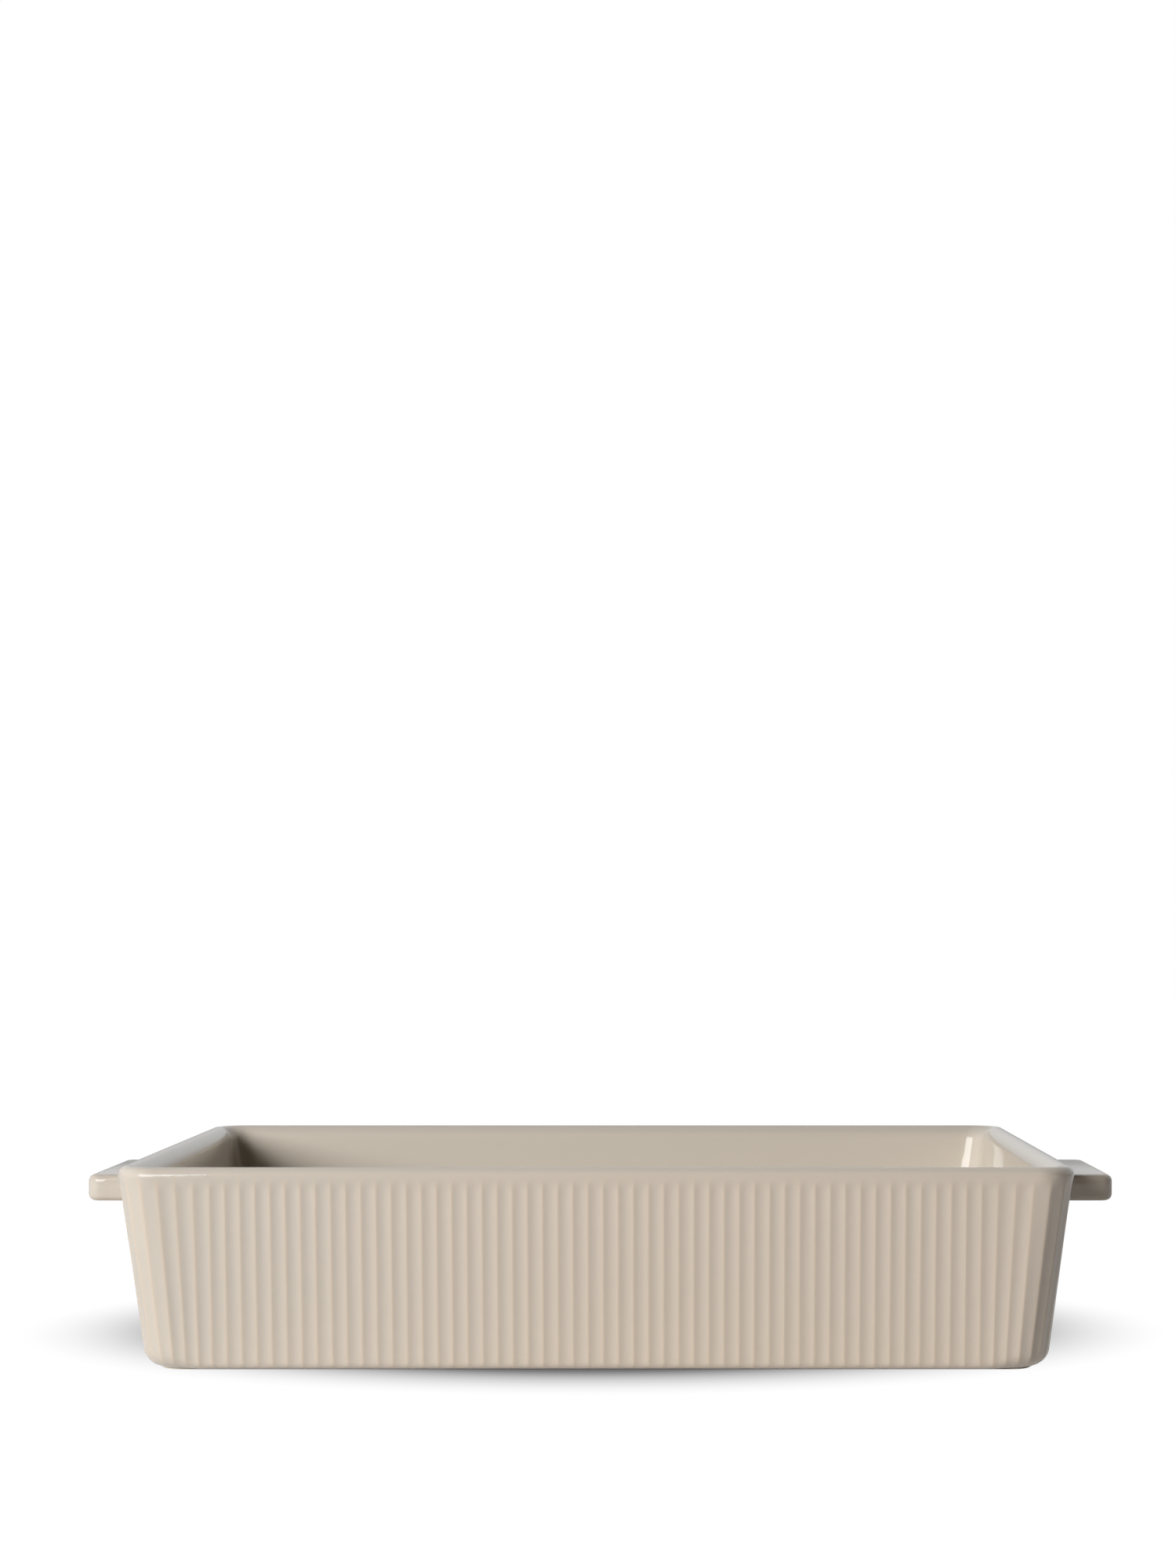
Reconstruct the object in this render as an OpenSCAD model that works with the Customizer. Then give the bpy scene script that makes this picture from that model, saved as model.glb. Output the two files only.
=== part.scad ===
// Rectangular stoneware baking dish with fluted walls and two slab handles.
// The dish stands on Z = 0, centred on X = 0 and Y = 0. Its length runs along X.

/* [Body] */
// Length over the lip
body_length = 350; // [280:1:420]
// Depth from front to back over the lip
body_depth = 240; // [180:1:300]
// Height from the table to the top of the lip
body_height = 75; // [60:1:95]
// Lean of the walls away from upright, in degrees
wall_draft = 7; // [4:0.5:9]
// Thickness of the wall, which is also the width of its round lip
wall_thickness = 8; // [6:0.5:9]
// Thickness of the floor
floor_thickness = 8; // [6:0.5:11]
// Radius of the corners, seen from above
corner_radius = 14.5; // [13:0.5:20]
// Radius of the outside edge between walls and base
base_radius = 7.5; // [6:0.5:9]
// Radius of the inside fillet between walls and floor
inner_radius = 14; // [10:0.5:18]

/* [Flutes] */
// Width of a flute on the straight walls, before a whole number is fitted in
flute_width = 5.48; // [4.5:0.02:9]
// Depth of a flute below its two arrises
flute_depth = 0.5; // [0.3:0.05:1.2]
// How far the glaze rounds down each arris
arris_drop = 0.05; // [0.02:0.01:0.1]
// Length of straight wall at each side of a corner that fans with the corner
fan_run = 18; // [14:0.5:22]
// Number of flutes that fan round one corner
fan_flutes = 9; // [6:1:12]
// How far the lip stands proud of the arrises
lip_proud = 0.15; // [0.1:0.05:0.5]
// Height of the smooth band that runs on down from the round of the lip
band_height = 0.6; // [0.2:0.1:4]
// Size of the bevel under the band, where the flutes run out
band_bevel = 1.6; // [1.4:0.1:2.5]

/* [Handles] */
// Width of a handle, measured along the end wall
handle_width = 80; // [60:1:95]
// Reach of a handle past the lip
handle_reach = 25; // [18:1:35]
// Thickness of a handle
handle_thickness = 10.6; // [8:0.2:14]
// Depth of the handle's top face below the top of the lip
handle_drop = 8.8; // [7:0.1:20]
// Radius of the handle's two outer corners, seen from above
handle_corner = 8; // [5:0.5:14]
// Radius of the edges round the handle's outer end
handle_end_edge = 2.6; // [1.4:0.2:3.6]
// Radius of the edges along the handle's two sides, where it leaves the wall
handle_side_edge = 1.2; // [0.6:0.2:2]
// How far the flat seat under a handle's root stands proud of the arrises
seat_proud = 0.2; // [0.1:0.05:0.4]

/* [Foot] */
// Height of the bare foot ring under the base
foot_height = 0.6; // [0.4:0.1:3]
// Width of the foot ring
foot_width = 8; // [5:0.5:12]
// Distance of the foot ring in from the edge of the flat base
foot_inset = 1; // [0.5:0.5:3]
// Radius of the foot ring's inner corners
foot_corner = 4; // [2:0.5:8]

/* [Hidden] */

// Facets of whole circles, and of the round forms inside a hull
$fn = 96;
hull_facets = 32;
plan_facets = 64;

// One overrun serves every cut, and one lap every pair of pieces that are fused
overrun = 5;
lap = 0.4;
// The corner's skin stands this much proud of the straight skin at their seam
seam = 0.02;
// The flat base lies this far under the lowest arrises
base_drop = 0.15;
// The wall's inside face lies this far behind the lip's
lip_bite = 0.1;

// Facets across one flute, down the wall and round the base edge of a corner
flute_steps = 4;
wall_steps = 2;
edge_steps = 5;

// A handle is drawn from this far behind the lip and then cut to its seat
root_reach = 20;

// Share of the base radius that the fluted skin is thick, and share of the
// radius by which the plain core lies under the arrises
skin_share = 0.5;
core_share = 0.25;
// Share of the base radius by which the flat base reaches under the edge
base_land_share = 0.17;

// The lip is a full round over the wall
lip_radius = wall_thickness / 2;
lip_z = body_height - lip_radius;
lean = tan(wall_draft);
// Centre of the corner, seen from above, at the height of the lip
corner_x = body_length / 2 - corner_radius;
corner_y = body_depth / 2 - corner_radius;
// Half of the straight fluted run on the long walls and on the end walls
run_x = corner_x - fan_run;
run_y = corner_y - fan_run;
flutes_x = round(2 * run_x / flute_width);
flutes_y = round(2 * run_y / flute_width);
// Radius through the arrises of the corner, the same at every height
arris_radius = corner_radius - lip_proud;

// The base edge turns about an axis at this height, from the turn downwards
base_z = foot_height + base_drop;
axis_z = base_z + base_radius;
turn_z = axis_z - base_radius * sin(wall_draft);
// How far the wall has come in at a height
function inset(z) = (lip_z - z) * lean;
// Distance from the corner's centre out to the axis of the base edge
axis_out = arris_radius - base_radius * cos(wall_draft);
wall_run = (lip_z - turn_z) / cos(wall_draft);
// Thickness of the fluted skin, and depth of the plain core inside it
skin = base_radius * skin_share;
core_depth = base_radius * core_share;

// The flat base, a rounded rectangle
base_centre_x = corner_x - inset(turn_z);
base_centre_y = corner_y - inset(turn_z);
base_corner = axis_out + base_radius * base_land_share;
floor_z = foot_height + floor_thickness;

// The handle lies between these heights and reaches to this X
handle_top = body_height - handle_drop;
handle_base = handle_top - handle_thickness;
handle_end = body_length / 2 + handle_reach;
handle_mid = (handle_top + handle_base) / 2;

// Place of the inside wall at a height, from the middle of the dish
function inside(half, z) = half - wall_thickness + lip_bite - inset(z);

// Section through a straight fluted wall. X is outwards with the arrises at 0,
// Y runs along the wall. A groove's circle passes through the two arrises.
module fluted_section(run, count) {
  pitch = 2 * run / count;
  groove = (pow(pitch / 2, 2) + pow(flute_depth, 2)) / (2 * flute_depth);
  difference() {
    translate([-skin, -run]) square([skin - arris_drop, 2 * run]);
    for (i = [0 : count])
      translate([groove - flute_depth, i * pitch - run]) circle(r = groove);
  }
}

// One straight fluted wall: the section drawn down the leaning wall and then
// turned under the dish about the axis of the base edge.
module fluted_wall(half, run, count) {
  translate([half - corner_radius - inset(turn_z) + axis_out, 0, axis_z])
    rotate([0, wall_draft, 0]) rotate([-90, 0, 0]) {
      translate([base_radius, 0, 0]) rotate([90, 0, 0])
        linear_extrude(height = wall_run) fluted_section(run, count);
      rotate_extrude(angle = 90 - wall_draft)
        translate([base_radius, 0]) fluted_section(run, count);
    }
}

// Straight wall left at each side of the corner, at a height
function fan_flat(z) = fan_run - inset(z);
fan_arc = PI / 2 * arris_radius;
// Angle round the corner at a distance along the fan, 0 on the end wall
function fan_turn(s, flat) = 90 * min(1, max(0, (s - flat) / fan_arc));
// Step along the straight wall where the distance is off the corner's arc
function fan_off(s, flat) =
  s < flat ? [0, s - flat] : s > flat + fan_arc ? [flat + fan_arc - s, 0] : [0, 0];
// Lean of the corner's skin at an angle round it
function fan_lean(turn) = atan(lean * (sin(turn) + cos(turn)));
// Depth of the scallop at a share along the fan: grooves lie at whole flutes
function scallop(share) =
  let (from_arris = abs(2 * (share * fan_flutes - floor(share * fan_flutes)) - 1))
  max(arris_drop, flute_depth * (1 - pow(1 - from_arris, 2)));

// A point of the corner at a share along the fan and at a level. Levels 0 to
// wall_steps go down the wall, and the rest go round the base edge. The point
// is moved along the wall by slide and in from the arrises by depth.
function fan_point(share, level, slide, depth) =
  let (down = min(1, level / wall_steps),
       under = max(0, (level - wall_steps) / edge_steps),
       level_z = lip_z + down * (turn_z - lip_z),
       flat = fan_flat(level_z),
       s = share * (2 * flat + fan_arc) + slide,
       turn = fan_turn(s, flat),
       tilt = fan_lean(turn),
       foot_z = axis_z - base_radius * sin(tilt),
       wall_z = lip_z + down * (foot_z - lip_z),
       roll = tilt + under * (90 - tilt),
       out = arris_radius + base_radius * (cos(roll) - cos(tilt)) - depth * cos(roll),
       z = wall_z - base_radius * (sin(roll) - sin(tilt)) + depth * sin(roll),
       at = [corner_x, corner_y] - [inset(wall_z), inset(wall_z)]
            + out * [cos(turn), sin(turn)] + fan_off(s, flat))
  [at.x, at.y, z];

// One level of the corner's skin: outside, the scallops between two laps into
// the straight walls, and inside, one point for each flute and its two laps
function fan_ring(level) =
  let (steps = fan_flutes * flute_steps)
  concat(
    [fan_point(0, level, -lap, flute_depth + lap)],
    [for (i = [0 : steps])
      fan_point(i / steps, level, 0,
                scallop(i / steps) - (i % steps == 0 ? seam : 0))],
    [fan_point(1, level, lap, flute_depth + lap)],
    [fan_point(1, level, lap, skin)],
    [for (i = [fan_flutes : -1 : 0]) fan_point(i / fan_flutes, level, 0, skin)],
    [fan_point(0, level, -lap, skin)]);

// The end of the skin: two laps, and a fan of triangles for each flute
function fan_cap() =
  let (steps = fan_flutes * flute_steps, half = flute_steps / 2,
       end = steps + 2, inner = end + 2 + fan_flutes, last = inner + 1)
  concat(
    [[0, last, inner], [0, inner, 1]],
    [[end - 1, inner - fan_flutes, end + 1], [end - 1, end + 1, end]],
    [for (k = [0 : fan_flutes - 1]) let (o = 1 + k * flute_steps, n = inner - k)
      each concat(
        [[n, n - 1, o + half]],
        [for (j = [0 : flute_steps - 1]) [o + j, j < half ? n : n - 1, o + j + 1]])]);

// A fluted corner: the levels are skinned into one closed solid
module fluted_corner() {
  levels = wall_steps + edge_steps;
  rings = [for (level = [0 : levels]) fan_ring(level)];
  count = len(rings[0]);
  wall = [for (k = [0 : levels - 1], i = [0 : count - 1])
    let (j = (i + 1) % count, a = k * count, b = a + count)
    each [[a + i, a + j, b + j], [a + i, b + j, b + i]]];
  top = [for (f = fan_cap()) [f[0], f[1], f[2]]];
  bottom = [for (f = fan_cap()) [f[0], f[2], f[1]] + levels * [count, count, count]];
  polyhedron(points = [for (ring = rings) each ring],
             faces = concat(wall, top, bottom), convexity = 6);
}

// The shape that follows is repeated at the four corners by mirroring
module four_corners() {
  for (mx = [0, 1], my = [0, 1])
    mirror([mx, 0, 0]) mirror([0, my, 0]) children();
}

// A rounded rectangle as a plate, with its corner circles at the given centres
module rounded_plate(x, y, radius, height) {
  linear_extrude(height = height)
    hull() for (sx = [-1, 1], sy = [-1, 1])
      translate([sx * x, sy * y]) circle(r = radius, $fn = plan_facets);
}

// Section of the lip: a half round over a smooth band, whose lower edge is
// bevelled in where the flutes run out. X is outwards from a corner's centre.
module lip_section() {
  outer = corner_radius;
  inner = corner_radius - wall_thickness;
  intersection() {
    translate([outer - lip_radius, lip_z]) circle(r = lip_radius);
    translate([inner, lip_z]) square([wall_thickness, lip_radius]);
  }
  polygon([[inner, lip_z], [outer, lip_z], [outer, lip_z - band_height],
           [outer - band_bevel, lip_z - band_height - band_bevel],
           [inner + band_bevel, lip_z - band_bevel]]);
}

// The lip is carried along each wall and turned round each corner
module lip() {
  for (side = [0, 180]) {
    rotate([0, 0, side]) translate([corner_x, corner_y, 0])
      rotate([90, 0, 0]) linear_extrude(height = 2 * corner_y) lip_section();
    rotate([0, 0, side + 90]) translate([corner_y, corner_x, 0])
      rotate([90, 0, 0]) linear_extrude(height = 2 * corner_x) lip_section();
  }
  four_corners() translate([corner_x, corner_y, 0])
    rotate_extrude(angle = 90) lip_section();
}

// The plain core inside the fluted skin, with its rounded base edge
module core() {
  edge = base_radius - core_depth;
  hull() four_corners() {
    translate([corner_x, corner_y, lip_z - lap])
      cylinder(r = arris_radius - core_depth / cos(wall_draft), h = lap,
               $fn = hull_facets);
    translate([base_centre_x, base_centre_y, axis_z])
      rotate_extrude($fn = hull_facets) translate([axis_out, 0])
        intersection() {
          circle(r = edge);
          translate([-min(axis_out, edge), -edge]) square([2 * edge, 2 * edge]);
        }
  }
}

// The hollow of the dish, with its round lower corners and fillet
module hollow() {
  ball_z = floor_z + inner_radius;
  ball_in = inner_radius / cos(wall_draft);
  hull() four_corners() {
    translate([corner_x, corner_y, lip_z])
      cylinder(r = corner_radius - wall_thickness + lip_bite,
               h = lip_radius + overrun, $fn = hull_facets);
    translate([inside(body_length / 2, ball_z) - ball_in,
               inside(body_depth / 2, ball_z) - ball_in, ball_z])
      sphere(r = inner_radius, $fn = hull_facets);
  }
}

// The slab of a handle before its root is cut to the wall, on the +X side
module handle_slab() {
  side = handle_width / 2;
  hull() for (my = [0, 1]) mirror([0, my, 0])
    for (face = [-1, 1]) {
      translate([handle_end - handle_corner, side - handle_corner,
                 handle_mid + face * (handle_thickness / 2 - handle_end_edge)])
        rotate_extrude($fn = hull_facets)
          translate([handle_corner - handle_end_edge, 0]) circle(r = handle_end_edge);
      translate([body_length / 2 - root_reach, side - handle_side_edge,
                 handle_mid + face * (handle_thickness / 2 - handle_side_edge)])
        sphere(r = handle_side_edge, $fn = hull_facets);
    }
}

// A block whose outer face is the plane of the handle's seat on the end wall
module seat_block(depth) {
  translate([body_length / 2 - lip_proud, 0, lip_z]) rotate([0, wall_draft, 0])
    translate([seat_proud - depth, -handle_width, -body_height])
      cube([depth, 2 * handle_width, 2 * body_height]);
}

// A handle with its root cut to lie flat on the seat
module handle() {
  difference() {
    handle_slab();
    seat_block(body_length / 2);
  }
}

// The flat seat that fills the flutes behind a handle's root
module handle_seat() {
  intersection() {
    handle_slab();
    seat_block(wall_thickness / 2);
  }
}

// The cast shell: fluted walls and corners, base, lip and handle seats
module dish_body() {
  color([0.74, 0.68, 0.6]) union() {
    difference() {
      union() {
        core();
        translate([0, 0, foot_height])
          rounded_plate(base_centre_x, base_centre_y, base_corner, base_radius / 2);
      }
      hollow();
    }
    for (side = [0, 180]) {
      rotate([0, 0, side]) fluted_wall(body_length / 2, run_y, flutes_y);
      rotate([0, 0, side + 90]) fluted_wall(body_depth / 2, run_x, flutes_x);
    }
    four_corners() fluted_corner();
    handle_seat();
    mirror([1, 0, 0]) handle_seat();
    lip();
  }
}

// The handle on the right, luted to the end wall
module right_handle() {
  color([0.7, 0.65, 0.58]) handle();
}

// The handle on the left, its mirror image
module left_handle() {
  color([0.7, 0.65, 0.58]) mirror([1, 0, 0]) handle();
}

// The bare ring of clay that the dish stands on
module foot_ring() {
  outer = base_corner - foot_inset;
  reach = outer - foot_width - foot_corner;
  color([0.85, 0.8, 0.72]) difference() {
    rounded_plate(base_centre_x, base_centre_y, outer, foot_height);
    translate([0, 0, -overrun])
      rounded_plate(base_centre_x + reach, base_centre_y + reach, foot_corner,
                    foot_height + 2 * overrun);
  }
}

dish_body();
left_handle();
right_handle();
foot_ring();
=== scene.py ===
from math import cos, pi, radians, sin, tan

import bpy
import numpy as np
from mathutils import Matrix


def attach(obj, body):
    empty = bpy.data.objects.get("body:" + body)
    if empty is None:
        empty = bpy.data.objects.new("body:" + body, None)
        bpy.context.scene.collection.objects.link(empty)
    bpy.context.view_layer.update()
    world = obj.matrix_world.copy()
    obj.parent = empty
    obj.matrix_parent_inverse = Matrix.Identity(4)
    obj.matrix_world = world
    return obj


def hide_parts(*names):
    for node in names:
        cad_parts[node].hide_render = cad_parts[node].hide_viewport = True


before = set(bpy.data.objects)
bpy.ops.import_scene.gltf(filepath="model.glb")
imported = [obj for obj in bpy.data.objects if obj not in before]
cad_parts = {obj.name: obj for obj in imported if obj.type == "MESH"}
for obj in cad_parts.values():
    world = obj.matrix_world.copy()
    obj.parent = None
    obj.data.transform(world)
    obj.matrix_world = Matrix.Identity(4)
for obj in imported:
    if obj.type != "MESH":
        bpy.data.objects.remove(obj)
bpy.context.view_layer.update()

# The cast shell: one slip-cast piece of stoneware with fluted leaning walls, a
# round lip and a smooth hollow, dipped in a glossy beige glaze. It is one closed
# surface: columns round the dish, and rows from the floor over the lip to the base.
MM = 0.001
HALF_LENGTH, HALF_DEPTH, HEIGHT = 175 * MM, 120 * MM, 75 * MM
WALL, DRAFT = 8 * MM, radians(7)
LEAN = tan(DRAFT)
CORNER, FILLET = 14.5 * MM, 14 * MM
CENTRE = np.array([HALF_LENGTH, HALF_DEPTH]) - CORNER
FLOOR_Z = 8.6 * MM

# The arrises between the flutes lie a little behind the lip. Beside each corner
# a run of straight wall belongs to the corner's fan of flutes.
LIP_Z = HEIGHT - WALL / 2
ARRIS_BACK, FAN_RUN = 0.15 * MM, 18 * MM
ARRIS_RADIUS = CORNER - ARRIS_BACK
FAN_ARC = pi / 2 * ARRIS_RADIUS
RUN = CENTRE - FAN_RUN

# The lip is a circle outside and a longer, softer curve inside, which starts
# LIP_INSIDE under the crown and makes the wall thicker by LIP_EXTRA. The hollow's
# corners are rounder by ROUNDER there than an even wall would make them.
LIP_ROUND, LIP_INSIDE, LIP_EXTRA = 3.4 * MM, 5.8 * MM, 1.2 * MM
ROUNDER = 3 * MM
# How far the lip's outer slope stands out from the plane through the arrises
PROUD = LIP_ROUND - cos(DRAFT) * (
    LIP_ROUND - ARRIS_BACK + (WALL / 2 - LIP_ROUND) * LEAN)

# Flutes on half an end wall, round a corner and on half a long wall, the heights
# between which they run out under the lip, and in flutes how blunt an arris is
# and how far from it the glaze is thin.
END_FLUTES, FAN_FLUTES, LONG_FLUTES = 16, 9, 26
FLUTE_DEPTH, ARRIS_DROP = 0.43 * MM, 0.05 * MM
RUN_OUT_TOP, RUN_OUT_END = 71.4 * MM, 66.2 * MM
ARRIS_ROUND, THIN_REACH = 0.08, 0.13
# Places of the columns in one flute, from mid-groove to mid-groove
MARKS = np.array([0, 0.14, 0.26, 0.36, 0.44, 0.5, 0.56, 0.64, 0.74, 0.86])
# Columns from one edge of a smooth face to the next
STRIDE = len(MARKS) // 2

# The base: its edge is wide at a corner and tight along the walls, and changes
# over EDGE_BLEND of the fan. It is left open at UNDER_END of its turn, where the
# flat plate takes over, and the flutes have gone at UNDER_FADE.
BASE_Z, PLATE_Z = 0.75 * MM, 0.6 * MM
BASE_EDGE, TIGHT_EDGE, EDGE_BLEND = 7.5 * MM, 3.5 * MM, 0.35
UNDER_END, UNDER_FADE = 0.87, 0.75
TURN_Z = BASE_Z + BASE_EDGE * (1 - sin(DRAFT))
PLATE_OUT = ARRIS_RADIUS - BASE_EDGE * cos(DRAFT) + 1.275 * MM
# How far in, and how high, the plate's rows lie
PLATE_ROWS = np.array([(0, 0.82), (0.05, 0.66), (0.2, 0.6), (3, 0.6)]) * MM


def ease(low, high, value):
    """Goes smoothly from 0 at low to 1 at high, as 3t^2 - 2t^3."""
    t = np.clip((value - low) / (high - low), 0, 1)
    return t * t * (3 - 2 * t)


def flute_marks(count):
    """Places of the columns in a run of flutes, counted in flutes."""
    return (np.arange(count)[:, None] + MARKS).ravel()


# One quarter of the girth: half of the end wall, the corner and half of the
# long wall. share runs 0 to 1 across the corner's fan, and the two slides hold
# the distance back along the straight walls.
end_marks, fan_marks, long_marks = map(
    flute_marks, (END_FLUTES, FAN_FLUTES, LONG_FLUTES))
long_marks = np.append(long_marks, LONG_FLUTES)
share = np.concatenate([0 * end_marks, fan_marks / FAN_FLUTES, 0 * long_marks + 1])
end_slide = np.zeros_like(share)
end_slide[:len(end_marks)] = (end_marks / END_FLUTES - 1) * RUN[1]
long_slide = np.zeros_like(share)
long_slide[-len(long_marks):] = -long_marks / LONG_FLUTES * RUN[0]
to_arris = np.abs(np.concatenate([end_marks, fan_marks, long_marks]) % 1 - 0.5)


def bowl(distance):
    """Depth of a groove at a distance from its arris: a parabola."""
    return FLUTE_DEPTH * (1 - (1 - 2 * distance) ** 2)


# Depth of the columns and share of thin glaze, a bell curve about each arris
scallop = bowl(np.hypot(to_arris, ARRIS_ROUND)) - bowl(ARRIS_ROUND) + ARRIS_DROP
thin_glaze = np.exp(-(to_arris / THIN_REACH) ** 2)


def inset(z):
    """How far the leaning wall has come in at a height under the lip."""
    return (LIP_Z - z) * LEAN


def whole_girth(x, y, *rows):
    """Turns the columns of one quarter into those of the whole girth: the
    quarter, its mirror image in X, and both turned half round. A row of values
    is mirrored in the same order."""
    x = np.concatenate([x, -x[-2:0:-1]])
    y = np.concatenate([y, y[-2:0:-1]])
    rows = [np.tile(np.concatenate([r, r[-2:0:-1]]), 2) for r in rows]
    return [np.concatenate([x, -x]), np.concatenate([y, -y])] + rows


def outside_ring(down, under, depth):
    """One row of the outside. down runs 0 to 1 from the lip to the turn of the
    base edge, under runs 0 to 1 round that edge, and depth is measured in from
    the arrises along the normal, whose angle rolls from the wall's lean to 90.
    The edge is a circle, wide at the corner and tight beside it. The straight
    parts of the fan shrink as the wall comes in, so its flutes close up."""
    flat = FAN_RUN - inset(LIP_Z + down * (TURN_Z - LIP_Z))
    s = share * (2 * flat + FAN_ARC)
    turn = pi / 2 * np.clip((s - flat) / FAN_ARC, 0, 1)
    tilt = np.arctan(LEAN * (np.cos(turn) + np.sin(turn)))
    roll = tilt + under * (pi / 2 - tilt)
    edge = TIGHT_EDGE + (BASE_EDGE - TIGHT_EDGE) * ease(
        0, EDGE_BLEND, np.minimum(share, 1 - share))
    wall_z = LIP_Z + down * (BASE_Z + edge * (1 - np.sin(tilt)) - LIP_Z)
    out = ARRIS_RADIUS + edge * (np.cos(roll) - np.cos(tilt)) - depth * np.cos(roll)
    z = wall_z - edge * (np.sin(roll) - np.sin(tilt)) + depth * np.sin(roll)
    inward = inset(wall_z)
    back = (FAN_RUN - inward) / flat
    x = (CENTRE[0] - inward + out * np.cos(turn)
         + back * np.minimum(0, flat + FAN_ARC - s))
    y = CENTRE[1] - inward + out * np.sin(turn) + back * np.minimum(0, s - flat)
    return x + long_slide, y + end_slide, z


def plain_ring(centre, out, z):
    """One smooth row: the rounded rectangle about the corner's centre at the
    distance out, with the columns placed as they are at the lip."""
    s = share * (2 * FAN_RUN + FAN_ARC)
    turn = pi / 2 * np.clip((s - FAN_RUN) / FAN_ARC, 0, 1)
    back = (centre - RUN) / FAN_RUN
    x = (centre[0] + out * np.cos(turn)
         + back[0] * np.minimum(0, FAN_RUN + FAN_ARC - s))
    y = centre[1] + out * np.sin(turn) + back[1] * np.minimum(0, s - FAN_RUN)
    return x + long_slide, y + end_slide, 0 * x + z


def soft_curve(t, start, leave, arrive, end):
    """A point of the cubic curve from start towards leave, and past arrive to end."""
    weights = np.array([(1 - t) ** 3, 3 * t * (1 - t) ** 2, 3 * t * t * (1 - t), t ** 3])
    return weights @ np.array([start, leave, arrive, end])


def inner_rings():
    """Rows of the hollow from the middle of the floor up to the lip's crown:
    floor, fillet as a circle about the low corner's centre, leaning wall as
    straight lines, and the inner part of the round lip as a cubic curve."""
    steep = radians(78)
    low_z = FLOOR_Z + FILLET
    low = (np.array([HALF_LENGTH, HALF_DEPTH]) - WALL - inset(low_z)
           - FILLET / cos(DRAFT))
    fillet = [(low, FILLET * cos(a), low_z - FILLET * sin(a))
              for a in np.linspace(steep, DRAFT, 12)]
    flat = (low * 0.97, FILLET * cos(steep), FLOOR_Z + 0.02 * MM)
    top_z = HEIGHT - LIP_INSIDE
    start = CORNER - WALL - LIP_EXTRA - inset(top_z)
    crown = CORNER - LIP_ROUND
    lift, pull = np.array([0.35, 3]) * MM, np.array([3, 0]) * MM
    lip = []
    for t in np.linspace(0, 1, 13):
        out, z = soft_curve(t, (start, top_z), (start, top_z) + lift,
                            (crown, HEIGHT) - pull, (crown, HEIGHT))
        rounder = ROUNDER * (1 - ease(0, 1, t))
        lip.append((CENTRE - rounder, out + rounder, z))
    wall = [tuple(f + (t - f) * k for f, t in zip(fillet[-1], lip[0]))
            for k in (0.05, 0.35, 0.65, 0.95)]
    return [plain_ring(*row) for row in [flat] + fillet + wall + lip]


def outer_rings():
    """Rows of the outside from the lip's crown down to the flat base: the lip's
    outer circle, the leaning wall, the base edge and the plate. Each comes with
    the share of the arrises' thin glaze, and less than 0 where glaze pools, which
    on the lip's crown paints in light as a paler colour."""
    rings = []
    for a in np.linspace(pi / 2, -DRAFT, 10)[1:-1]:
        ring = plain_ring(CENTRE, CORNER - LIP_ROUND * (1 - cos(a)),
                          HEIGHT - LIP_ROUND * (1 - sin(a)))
        # The lip's crown is marked as pooled glaze, made paler as painted light
        rings.append((ring, 0, -max(0, sin(a))))
    tangent_z = HEIGHT - LIP_ROUND * (1 + sin(DRAFT))
    heights = np.concatenate([np.linspace(tangent_z, RUN_OUT_END, 12),
                              np.linspace(RUN_OUT_END, TURN_Z, 10)[1:]])
    for z in heights:
        full = 1 - ease(RUN_OUT_END, RUN_OUT_TOP, z)
        ring = outside_ring((LIP_Z - z) / (LIP_Z - TURN_Z), 0,
                            scallop * full - PROUD * (1 - full))
        rings.append((ring, full ** 0.3, 0))
    for under in np.linspace(0, UNDER_END, 11)[1:]:
        full = 1 - ease(0, UNDER_FADE, under)
        rings.append((outside_ring(1, under, scallop * full), full, 0))
    for inward, z in PLATE_ROWS:
        rings.append((plain_ring(CENTRE - inset(TURN_Z), PLATE_OUT - inward, z), 0, 0))
    return rings


def strip_quads(first, second, count):
    """Faces between two closed rows of count points, which start at the given
    indices. They look outwards where the rows run down the outside."""
    j = np.arange(count)
    k = (j + 1) % count
    return np.stack([first + j, second + j, second + k, first + k], 1)


def strip_fans(first, second, count):
    """Faces between a row of count points and one with STRIDE times as many."""
    j = np.arange(count)
    k = (j + 1) % count
    fine = [second + (j * STRIDE + i) % (count * STRIDE) for i in range(STRIDE + 1)]
    half = STRIDE // 2
    fans = [(first + j, fine[i], fine[i + 1]) for i in range(half)]
    fans.append((first + j, fine[half], first + k))
    fans += [(first + k, fine[i], fine[i + 1]) for i in range(half, STRIDE)]
    return np.concatenate([np.stack(f, 1) for f in fans])


def pole_fan(pole, first, count):
    """Triangles from a pole to a closed row of count points around it."""
    j = np.arange(count)
    return np.stack([np.full(count, pole), first + j, first + (j + 1) % count], 1)


def add_piece(name, points, faces, slot, *nodes, **attributes):
    """A smooth-shaded mesh piece on the one body, in place of the given nodes,
    with one value per point for each attribute."""
    mesh = bpy.data.meshes.new(name)
    mesh.from_pydata(points.tolist(), [],
                     [f for group in faces for f in np.asarray(group).tolist()])
    for key, values in attributes.items():
        mesh.attributes.new(key, "FLOAT", "POINT").data.foreach_set("value", values)
    mesh.polygons.foreach_set("use_smooth", np.ones(len(mesh.polygons), bool))
    mesh.validate()
    mesh.update()
    piece = bpy.data.objects.new(name, mesh)
    bpy.context.collection.objects.link(piece)
    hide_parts(*nodes)
    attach(piece, "root")
    return piece


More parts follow.
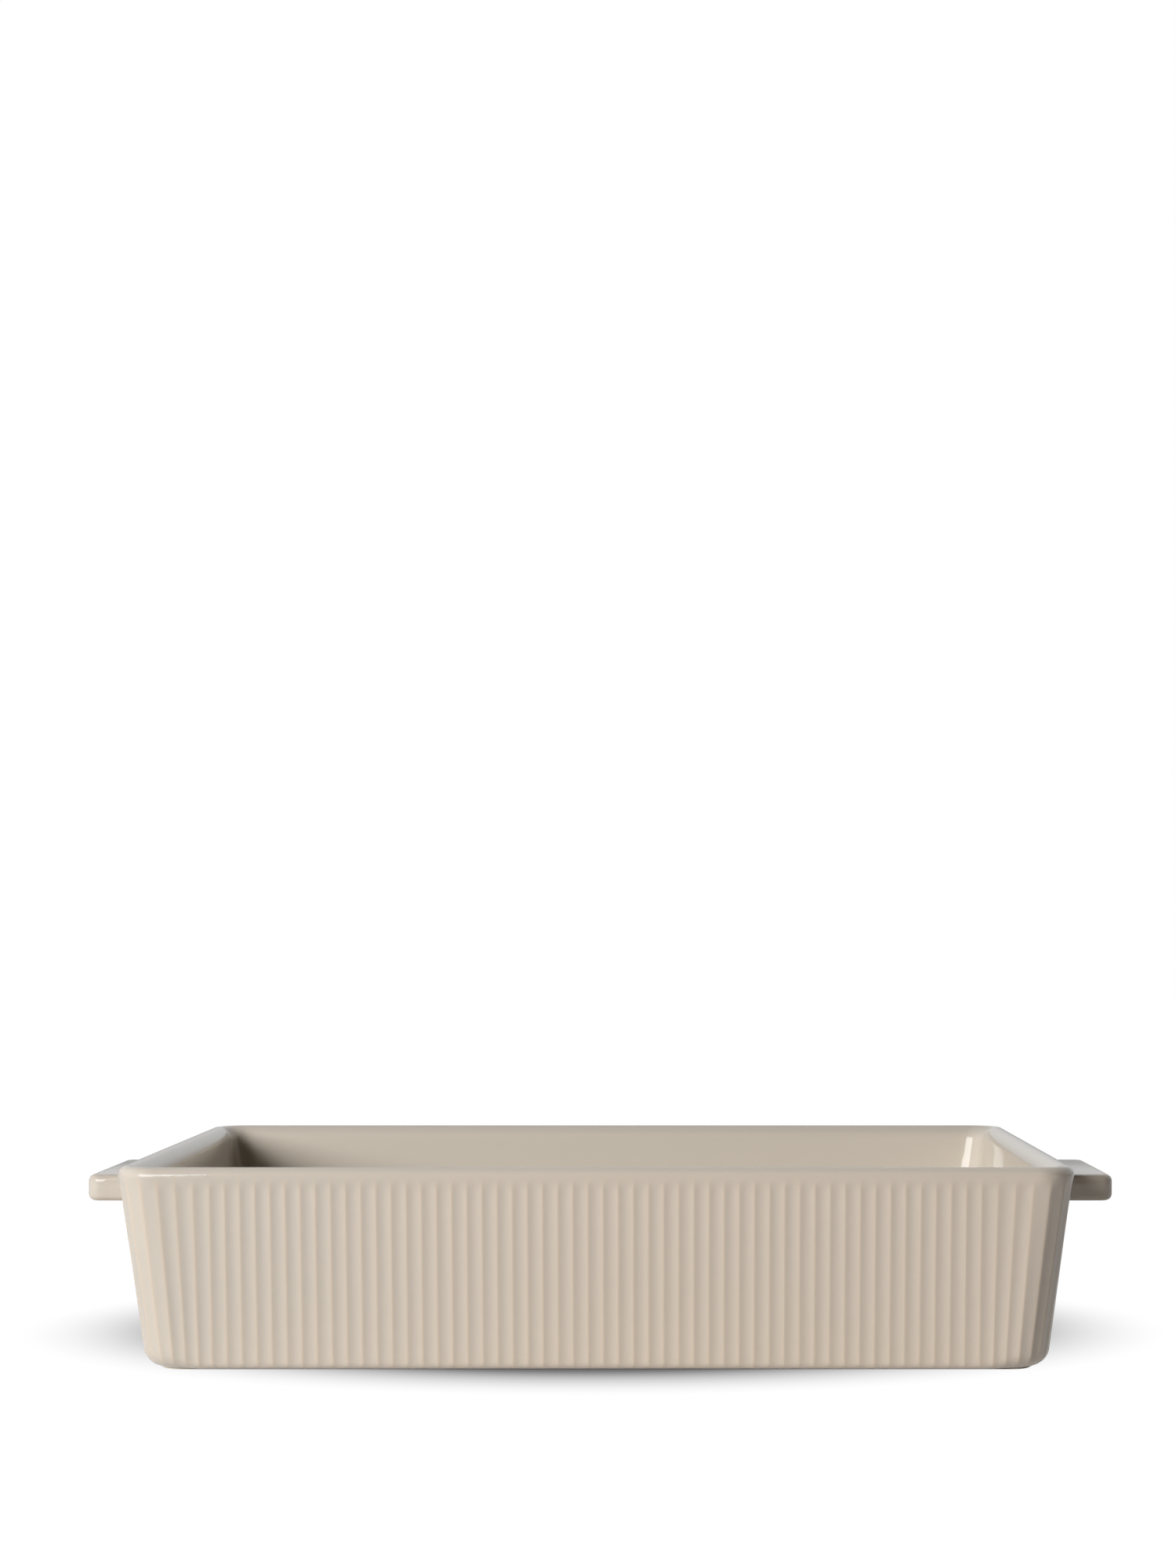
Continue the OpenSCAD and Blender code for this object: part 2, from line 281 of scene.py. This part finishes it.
def build_shell():
    """The shell's points, faces and thin-glaze values. The smooth hollow uses
    every STRIDE-th column, a strip of fans on the lip joins it to the outside,
    and a pole closes the surface on the floor and under the base."""
    rows = [np.array([[0, 0, FLOOR_Z]])]
    rows += [np.stack(whole_girth(*ring), 1)[::STRIDE] for ring in inner_rings()]
    # The hollow's rows are marked as pooled glaze, made paler as painted light
    thin = [np.zeros(1)] + [np.full(len(row), -1.0) for row in rows[1:]]
    for ring, full, pooled_and_lit in outer_rings():
        *places, arris = whole_girth(*ring, thin_glaze)
        rows.append(np.stack(places, 1))
        thin.append(arris * full + pooled_and_lit)
    rows.append(np.array([[0, 0, PLATE_Z]]))
    thin.append(np.zeros(1))
    counts = [len(row) for row in rows]
    starts = np.cumsum([0] + counts)
    faces = [pole_fan(0, starts[1], counts[1])]
    for i in range(1, len(rows) - 2):
        strip = strip_quads if counts[i] == counts[i + 1] else strip_fans
        faces.append(strip(starts[i], starts[i + 1], counts[i]))
    faces.append(pole_fan(starts[-2], starts[-3], counts[-2])[:, ::-1])
    return np.concatenate(rows), faces, np.concatenate(thin)


points, faces, thin = build_shell()
shell = add_piece("dish_shell", points, faces, "beige_glaze", "dish_body", thin=thin)


class Value:
    """A shader socket. Arithmetic on it adds Math nodes."""

    def __init__(self, tree, socket=None):
        self.tree, self.socket = tree, socket

    def node(self, kind, settings, sockets, output=0):
        """Adds a node with its settings first and then the values or links of
        its sockets, and returns one of its outputs."""
        made = self.tree.nodes.new(kind)
        for key, value in settings.items():
            setattr(made, key, value)
        for key, value in sockets.items():
            if isinstance(value, Value):
                self.tree.links.new(value.socket, made.inputs[key])
            else:
                made.inputs[key].default_value = value
        return Value(self.tree, made.outputs[output])

    def math(self, operation, *values):
        return self.node("ShaderNodeMath", {"operation": operation},
                         dict(enumerate(values)))

    def __add__(self, other):
        return self.math("ADD", self, other)

    def __mul__(self, other):
        return self.math("MULTIPLY", self, other)

    def __sub__(self, other):
        return self.math("SUBTRACT", self, other)

    def __rsub__(self, other):
        return self.math("SUBTRACT", other, self)

    __radd__, __rmul__ = __add__, __mul__

    def smooth(self, low, high, start=0.0, end=1.0):
        """Goes smoothly from start to end as the value goes from low to high."""
        return self.node("ShaderNodeMapRange", {"interpolation_type": "SMOOTHSTEP"},
                         {"Value": self, "From Min": low, "From Max": high,
                          "To Min": start, "To Max": end})

    def show(self, kind="ShaderNodeOutputMaterial"):
        """Makes this shader the one that its material or world shows."""
        output = self.tree.nodes.new(kind)
        self.tree.links.new(self.socket, output.inputs[0])


def blend_colours(factor, first, second):
    """Mixes two colours, or two colour sockets, by a value."""
    first, second = (colour if isinstance(colour, Value) else (*colour, 1)
                     for colour in (first, second))
    return factor.node("ShaderNodeMix", {"data_type": "RGBA"},
                       {0: factor, 6: first, 7: second}, 2)


def empty_tree(owner):
    """Clears the nodes of a material or world, as a value to add nodes to."""
    owner.use_nodes = True
    owner.node_tree.nodes.clear()
    return Value(owner.node_tree)


def noise(place, scale, detail, roughness=0.5):
    """Blender's noise at a number of blotches per metre."""
    return place.node("ShaderNodeTexNoise", {},
                      {"Vector": place, "Scale": scale, "Detail": detail,
                       "Roughness": roughness})


# The glaze over pinkish clay. It lies plain in the grooves, breaks warm where it
# is thin on the arrises, and pools paler on the lip and in the hollow, a paleness
# that also paints in light there. It is greyer towards the left end, a painted
# reflection of the brighter light on that side. It drifts over a few centimetres
# and has fine specks, and its surface has a faint orange peel.
LEFT_REFLECTION_GREY, PLAIN = (0.555, 0.50, 0.43), (0.575, 0.495, 0.41)
SPECK, WARM, POOLED_AND_LIT = (0.58, 0.505, 0.425), (0.62, 0.51, 0.40), (0.625, 0.56, 0.475)


def glaze_material():
    """Blends the glaze's shades by the place along the dish, greyer towards the left
    end as a painted reflection, by noise, and by the attribute thin: 1 on an arris,
    0 in a groove and -1 where glaze pools and its paler colour paints in light."""
    material = bpy.data.materials.new("beige_glaze")
    start = empty_tree(material)
    place = start.node("ShaderNodeTexCoord", {}, {}, 3)
    along = start.node("ShaderNodeSeparateXYZ", {}, {0: place})
    thin = start.node("ShaderNodeAttribute", {"attribute_name": "thin"}, {}, 2)
    drift = noise(place, scale=22, detail=3)
    mottle = noise(place, scale=160, detail=4, roughness=0.6)
    # Painted reflection: greyer towards the left end, for the brighter light mirrored on
    # that side
    shade = blend_colours((along + drift * 0.12).smooth(-0.14, 0.12), LEFT_REFLECTION_GREY, PLAIN)
    shade = blend_colours(mottle.smooth(0.4, 0.7, end=0.35), shade, SPECK)
    shade = blend_colours(thin * 0.7, shade, WARM)
    # Painted light: paler where glaze pools, on the lip and in the hollow, for light
    # that falls there
    shade = blend_colours(thin * -1, shade, POOLED_AND_LIT)
    ripple = noise(place, scale=60, detail=2)
    peel = noise(place, scale=420, detail=2)
    grain = noise(place, scale=1300, detail=2)
    bump = start.node("ShaderNodeBump", {}, {
        "Strength": 0.3, "Distance": 0.2 * MM,
        "Height": ripple * 0.6 + peel * 0.25 + grain * 0.04})
    surface = start.node("ShaderNodeBsdfPrincipled", {}, {
        "Base Color": shade, "Normal": bump,
        "Roughness": mottle.smooth(0.3, 0.7, start=0.04, end=0.055)})
    surface.show()
    return material


glaze = glaze_material()
shell.data.materials.append(glaze)

# The handles: two slabs of the same clay, pressed in a mould and luted on with
# slip before glazing, which leaves a small fillet against the fluted wall. Each
# is a rounded section carried along the slab's outline.
HANDLE_END, HANDLE_SIDE = 200 * MM, 40 * MM
HANDLE_Z, HANDLE_HALF = 60.8 * MM, 5.1 * MM
HANDLE_CORNER, END_EDGE, SIDE_EDGE = 5 * MM, 2.6 * MM, 0.9 * MM
# The root's reach into the wall, the radius of the luted fillet, where the bare
# slab starts past it, and how far the slab's top and foot follow the wall's lean
ROOT, LUTE, BARE, LEAN_REACH = 2.5 * MM, 1.2 * MM, 3 * MM, 12 * MM
# How far each side spreads from the root to the rounded corner, per metre
SPREAD = 0.03
# How thin the glaze is on the rounded edges
EDGE_THIN = 0.3


def build_handle():
    """Points, faces and thin-glaze values of the right handle. Stations follow
    half of the outline: the root, the lute's fillet as a quarter circle, the
    straight side and the corner's quarter circle; the other half is their mirror
    image. At each the section's edges are quarter circles, which grow from the
    wall to the end."""
    wall_x = HALF_LENGTH - ARRIS_BACK - inset(HANDLE_Z)
    lute = np.radians(np.linspace(90, 0, 7))
    past = np.concatenate([[-ROOT], LUTE * (1 - np.sin(lute)),
                           np.linspace(BARE, HANDLE_END - HANDLE_CORNER - wall_x, 8)])
    flare = np.concatenate([[LUTE], LUTE * (1 - np.cos(lute)), np.zeros(8)])
    spread = SPREAD * (past - past[-1])
    arc = np.radians(np.linspace(90, 0, 13))[1:]
    x = np.concatenate([wall_x + past, HANDLE_END - HANDLE_CORNER * (1 - np.cos(arc))])
    y = np.concatenate([HANDLE_SIDE + spread + flare,
                        HANDLE_SIDE - HANDLE_CORNER * (1 - np.sin(arc))])
    out_x = np.concatenate([0 * past, np.cos(arc)])
    out_y = np.concatenate([0 * past + 1, np.sin(arc)])
    flare = np.concatenate([flare, 0 * arc])
    edge = SIDE_EDGE + (END_EDGE - SIDE_EDGE) * np.clip(
        (x - CENTRE[0]) / (HANDLE_END - HANDLE_CORNER - CENTRE[0]), 0, 1)
    lean = np.clip(1 - (x - wall_x - LUTE) / LEAN_REACH, 0, 1) * LEAN
    rows, thin = [], []
    for side in (1, -1):
        for a in np.radians(np.linspace(90, 0, 7))[::side]:
            rise = side * (HANDLE_HALF + flare - edge + edge * sin(a))
            inwards = edge * (1 - cos(a))
            row = np.stack([x - inwards * out_x + rise * lean, inwards * out_y - y,
                            HANDLE_Z + rise], 1)
            rows.append(np.concatenate([row, (row * [1, -1, 1])[::-1]]))
            thin.append(np.full(len(rows[0]), EDGE_THIN * sin(2 * a)))
    count, half, last = len(rows[0]), len(x), len(rows) - 1
    j = np.arange(count - 1)
    faces = [np.stack([r * count + j, (r + 1) * count + j,
                       (r + 1) * count + j + 1, r * count + j + 1], 1)
             for r in range(last)]
    i = np.arange(half - 1)
    for row, turn in ((0, 1), (last, -1)):
        cap = np.stack([row * count + i, row * count + i + 1,
                        (row + 1) * count - 2 - i, (row + 1) * count - 1 - i], 1)
        faces.append(cap[:, ::turn])
    near, far = np.arange(last + 1) * count, np.arange(1, last + 2) * count - 1
    faces.append([np.concatenate([near[::-1], far])])
    return np.concatenate(rows), faces, np.concatenate(thin)


points, faces, thin = build_handle()
for name, node, way in (("right_grip", "right_handle", 1),
                        ("left_grip", "left_handle", -1)):
    grip = add_piece(name, points * [way, way, 1], faces, "beige_glaze", node, thin=thin)
    grip.data.materials.append(glaze)

# The foot ring: the rim of bare clay under the base, wiped clean of glaze so
# that the dish doesn't stick to the kiln shelf. Its section is carried round.
FOOT_WIDTH, FOOT_EDGE = 8 * MM, 0.25 * MM
FOOT_INSET, FOOT_CORNER = 1 * MM, 4 * MM
FOOT_ARC_STEPS = 12


def build_foot():
    """Points and faces of the ring: a rounded rectangle's outer and inner
    outlines, with each row at a share of the way between them and a height."""
    outer_radius = PLATE_OUT - FOOT_INSET
    outer_centre = CENTRE - inset(TURN_Z)
    inner_centre = outer_centre + outer_radius - FOOT_WIDTH - FOOT_CORNER
    turn = np.radians([np.linspace(q, q + 90, FOOT_ARC_STEPS + 1)
                       for q in (0, 90, 180, 270)]).ravel()
    quarter = np.repeat([[1, 1], [-1, 1], [-1, -1], [1, -1]], FOOT_ARC_STEPS + 1, axis=0)
    way = np.stack([np.cos(turn), np.sin(turn)], 1)
    outer = quarter * outer_centre + outer_radius * way
    inner = quarter * inner_centre + FOOT_CORNER * way
    edge = FOOT_EDGE / FOOT_WIDTH
    section = [(0, PLATE_Z), (1, PLATE_Z), (1, FOOT_EDGE),
               (1 - 0.3 * edge, 0.3 * FOOT_EDGE), (1 - edge, 0),
               (edge, 0), (0.3 * edge, 0.3 * FOOT_EDGE), (0, FOOT_EDGE)]
    rows = [np.column_stack([inner + (outer - inner) * across, np.full(len(turn), z)])
            for across, z in section]
    count, total = len(turn), len(section)
    faces = [strip_quads(r * count, (r + 1) % total * count, count)
             for r in range(total)]
    return np.concatenate(rows), faces


def clay_material():
    """Bare fired clay: pale, dry and fine-grained, with faint darker grit. Two
    noises blend its shades."""
    dusky, pale, dark = (0.62, 0.53, 0.43), (0.70, 0.61, 0.50), (0.42, 0.33, 0.26)
    material = bpy.data.materials.new("bare_clay")
    start = empty_tree(material)
    place = start.node("ShaderNodeTexCoord", {}, {}, 3)
    grit = noise(place, scale=900, detail=3, roughness=0.7)
    cloud = noise(place, scale=35, detail=3)
    shade = blend_colours(cloud.smooth(0.35, 0.65), dusky, pale)
    shade = blend_colours(grit.smooth(0.62, 0.72, end=0.5), shade, dark)
    bump = start.node("ShaderNodeBump", {}, {
        "Strength": 0.6, "Distance": 0.2 * MM, "Height": grit})
    surface = start.node("ShaderNodeBsdfPrincipled", {}, {
        "Base Color": shade, "Normal": bump,
        "Roughness": grit.smooth(0.3, 0.7, start=0.72, end=0.9)})
    surface.show()
    return material


points, faces = build_foot()
foot = add_piece("foot_rim", points, faces, "bare_clay", "foot_ring")
foot.data.materials.append(clay_material())

# The table: a plain white floor. The camera sees it white by light of its own,
# with a soft elliptical pool of painted shade about the dish. The light and the
# glaze meet a pale floor, and its glow in the glaze is fainter.
FLOOR_HALF, FLOOR_GREY = 6, 0.85
POOL_CENTRE, POOL_REACH, POOL_DEPTH = (-0.003, 0.012, 0), (0.24, 0.185, 1), 7.2
DARKEST, DARKEST_BLEND = 0.85, 0.25
GLOW_SEEN, GLOW_MIRRORED = 1.01, 0.3
WHITE, BLACK = (1, 1, 1), (0, 0, 0)
floor_mesh = bpy.data.meshes.new("floor")
floor_mesh.from_pydata([(x * FLOOR_HALF, y * FLOOR_HALF, 0) for x, y in
                        ((-1, -1), (1, -1), (1, 1), (-1, 1))], [], [(0, 1, 2, 3)])
floor = bpy.data.objects.new("floor", floor_mesh)
bpy.context.collection.objects.link(floor)
white_floor = bpy.data.materials.new("white_floor")
floor_mesh.materials.append(white_floor)
start = empty_tree(white_floor)
seen, mirrored = (start.node("ShaderNodeLightPath", {}, {}, i) for i in (0, 3))
place = start.node("ShaderNodeTexCoord", {}, {}, 3)
aside = start.node("ShaderNodeMapping", {"vector_type": "TEXTURE"}, {
    "Vector": place, "Location": POOL_CENTRE, "Scale": POOL_REACH})
away = start.node("ShaderNodeVectorMath", {"operation": "LENGTH"}, {0: aside}, 1)
pool = start.math("MAXIMUM", 1 - away, 0)
shade = start.math("SMOOTH_MIN", pool * pool * POOL_DEPTH, DARKEST, DARKEST_BLEND)
surface = start.node("ShaderNodeBsdfPrincipled", {}, {
    "Base Color": blend_colours(seen, [FLOOR_GREY] * 3, BLACK),
    "Roughness": 0.9, "Specular IOR Level": 0,
    "Emission Color": blend_colours(shade, WHITE, BLACK),
    "Emission Strength": seen * GLOW_SEEN + mirrored * GLOW_MIRRORED})
surface.show()

# The light: a large soft box in front on the left and a weaker one behind on the
# right. The glaze shows neither, but a white panel in the first one's place, and
# a white room that is brighter behind and on the left. The camera sees white.
PANEL_GLOW, SIDE_GLOW, ROOM_LIGHT, LAMP_AWAY = 7, 0.7, 0.1, 3
world = bpy.data.worlds.new("white_room")
bpy.context.scene.world = world
start = empty_tree(world)
seen, mirrored = (start.node("ShaderNodeLightPath", {}, {}, i) for i in (0, 3))
direction = start.node("ShaderNodeTexCoord", {}, {})
across, along, rise = (start.node("ShaderNodeSeparateXYZ", {}, {0: direction}, i)
                       for i in range(3))


def within(value, low, full_low, full_high, high):
    """1 between the two full values, going smoothly to 0 at low and at high."""
    return value.smooth(low, full_low) * value.smooth(high, full_high)


back = along.smooth(-0.3, 0.4)
azimuth = start.math("ARCTAN2", across * -1, along * -1)
panel = (within(azimuth, *map(radians, (10, 10.3, 46, 52)))
         * within(rise, *(sin(radians(a)) for a in (2, 5, 28, 31))))
room = (back * rise.smooth(-0.05, 0.2, start=0.36, end=0.92)
        + (1 - back) * across.smooth(0.4, -0.6) * SIDE_GLOW + panel * PANEL_GLOW)
strength = seen + mirrored * room + (1 - seen - mirrored) * back * ROOM_LIGHT
start.node("ShaderNodeBackground", {}, {"Color": (*WHITE, 1), "Strength": strength}
           ).show("ShaderNodeOutputWorld")


def add_lamp(name, azimuth, rise, width, height, energy):
    """A soft box LAMP_AWAY from the dish, at an azimuth left of the front and a
    height angle, turned to face it. The glaze doesn't show it."""
    lamp = bpy.data.lights.new(name, "AREA")
    lamp.shape, lamp.size, lamp.size_y, lamp.energy = "RECTANGLE", width, height, energy
    box = bpy.data.objects.new(name, lamp)
    level = -LAMP_AWAY * cos(rise)
    box.location = level * sin(azimuth), level * cos(azimuth), LAMP_AWAY * sin(rise)
    box.rotation_euler = (pi / 2 - rise, 0, -azimuth)
    box.visible_glossy = False
    bpy.context.collection.objects.link(box)


add_lamp("key", azimuth=radians(43), rise=radians(18), width=1.4, height=1.1, energy=99)
add_lamp("fill", azimuth=radians(-128), rise=radians(22), width=2, height=1.2, energy=22)

# The camera: level, in front of the dish and a little to the right of its
# middle, about twice the lip's height above the table. The shift frames the dish.
FOCUS_PX, FRAME_PX = 3639, 2000
optics = bpy.data.cameras.new("camera")
optics.sensor_fit, optics.sensor_height = "VERTICAL", 36
optics.lens = FOCUS_PX / FRAME_PX * optics.sensor_height
optics.shift_x, optics.shift_y = -0.0487, 0.0988
camera = bpy.data.objects.new("camera", optics)
camera.location = (0.025, -1.151, 0.1578)
camera.rotation_euler = (pi / 2, 0, 0)
bpy.context.collection.objects.link(camera)
bpy.context.scene.camera = camera
bpy.context.scene.view_settings.view_transform = "Standard"
